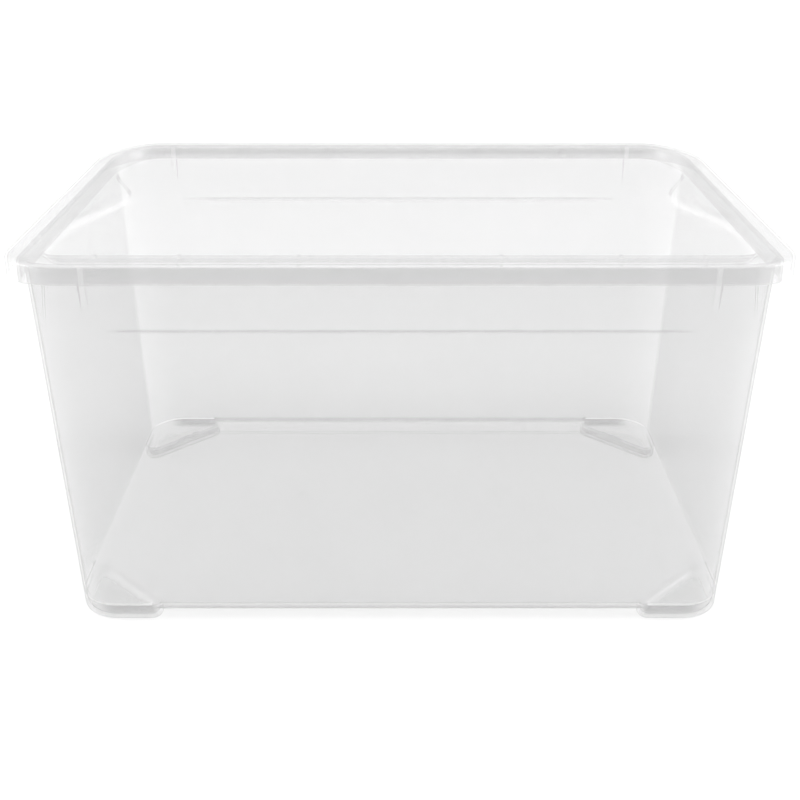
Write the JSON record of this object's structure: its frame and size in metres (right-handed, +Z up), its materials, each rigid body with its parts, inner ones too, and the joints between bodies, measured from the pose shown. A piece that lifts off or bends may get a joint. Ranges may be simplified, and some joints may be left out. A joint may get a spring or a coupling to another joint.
{
  "type": "stackable storage bin",
  "caption": "Clear rectangular storage tub with moulded corner feet and a lift-off lid whose recess holds the feet of another bin.",
  "frame": {"origin": "bottom centre, on the plane that the undersides of the four feet lie in", "axes": "+X along the long side, +Y from the front to the back, +Z up through the lid"},
  "size_m": [0.57, 0.39, 0.303],
  "materials": {
    "tub_plastic": "clear moulded polypropylene, slightly milky, smooth gloss",
    "lid_plastic": "clear moulded polypropylene, slightly milkier than the tub, satin gloss"
  },
  "bodies": {
    "tub": {"tub": "tub_plastic"},
    "lid": {"lid": "lid_plastic"}
  },
  "joints": [
    {"name": "lid_lift", "type": "slide", "parent": "tub", "child": "lid", "axis": [0, 0, 1], "range_m": [0, 0.2]}
  ]
}
